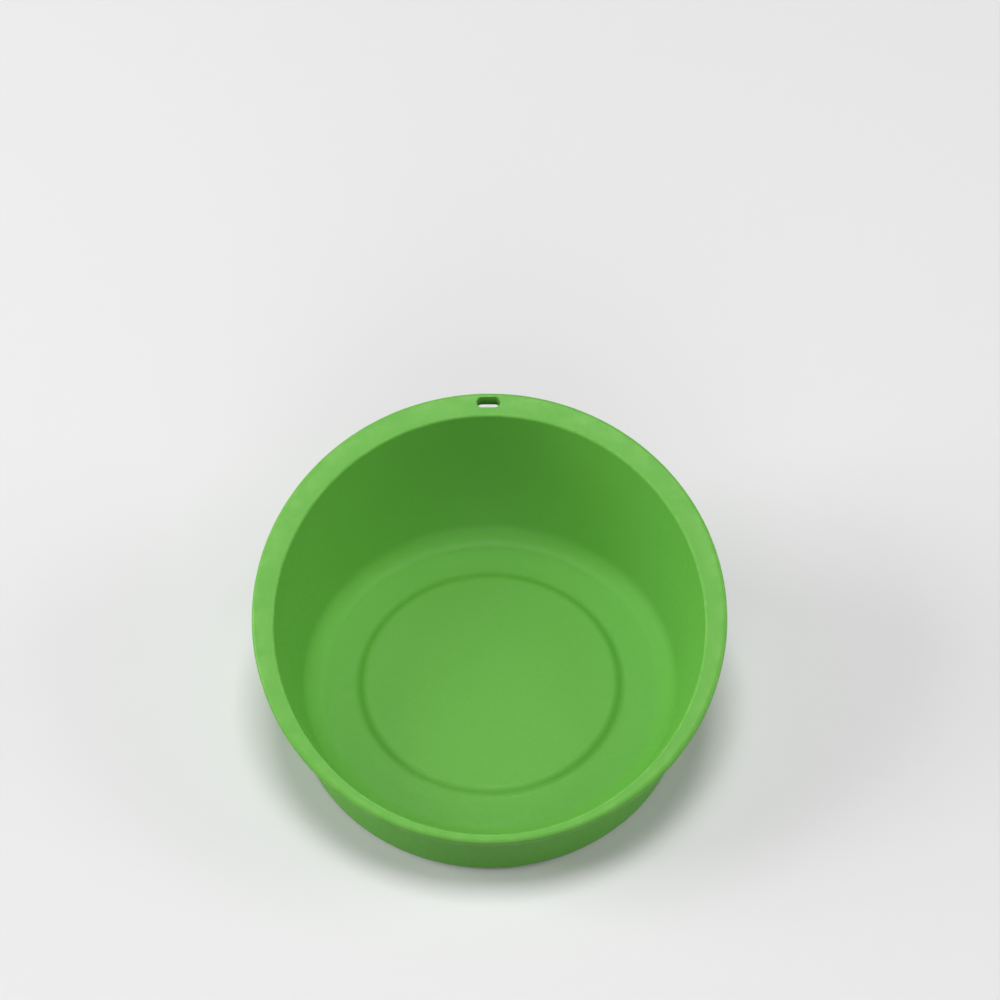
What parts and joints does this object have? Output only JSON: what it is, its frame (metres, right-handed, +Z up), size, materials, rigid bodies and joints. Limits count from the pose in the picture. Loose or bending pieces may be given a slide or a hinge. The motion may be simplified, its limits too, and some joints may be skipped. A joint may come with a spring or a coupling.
{
  "type": "magnetic parts bowl",
  "caption": "Round moulded plastic bowl with a slanted rim, a hang slot and a ring magnet under its floor that holds small steel parts and clings to steel.",
  "frame": {"origin": "on the ground under the middle of the ring magnet, in the lower face of the base cover", "axes": "+Z up; +Y towards the high side of the rim with its hang slot; +X to the right seen from the low side"},
  "size_m": [0.101, 0.0975, 0.0429],
  "materials": {
    "green_plastic": "lightly grained satin moulding",
    "adhesive": "double-sided adhesive film",
    "zinc_steel": "zinc-plated pressing",
    "ferrite": "ground sintered ferrite",
    "black_rubber": "matt non-marking cover"
  },
  "bodies": {
    "root": {"bowl": "green_plastic", "adhesive_pad": "adhesive", "pole_cup": "zinc_steel", "ring_magnet": "ferrite", "base_cover": "black_rubber"}
  },
  "joints": []
}
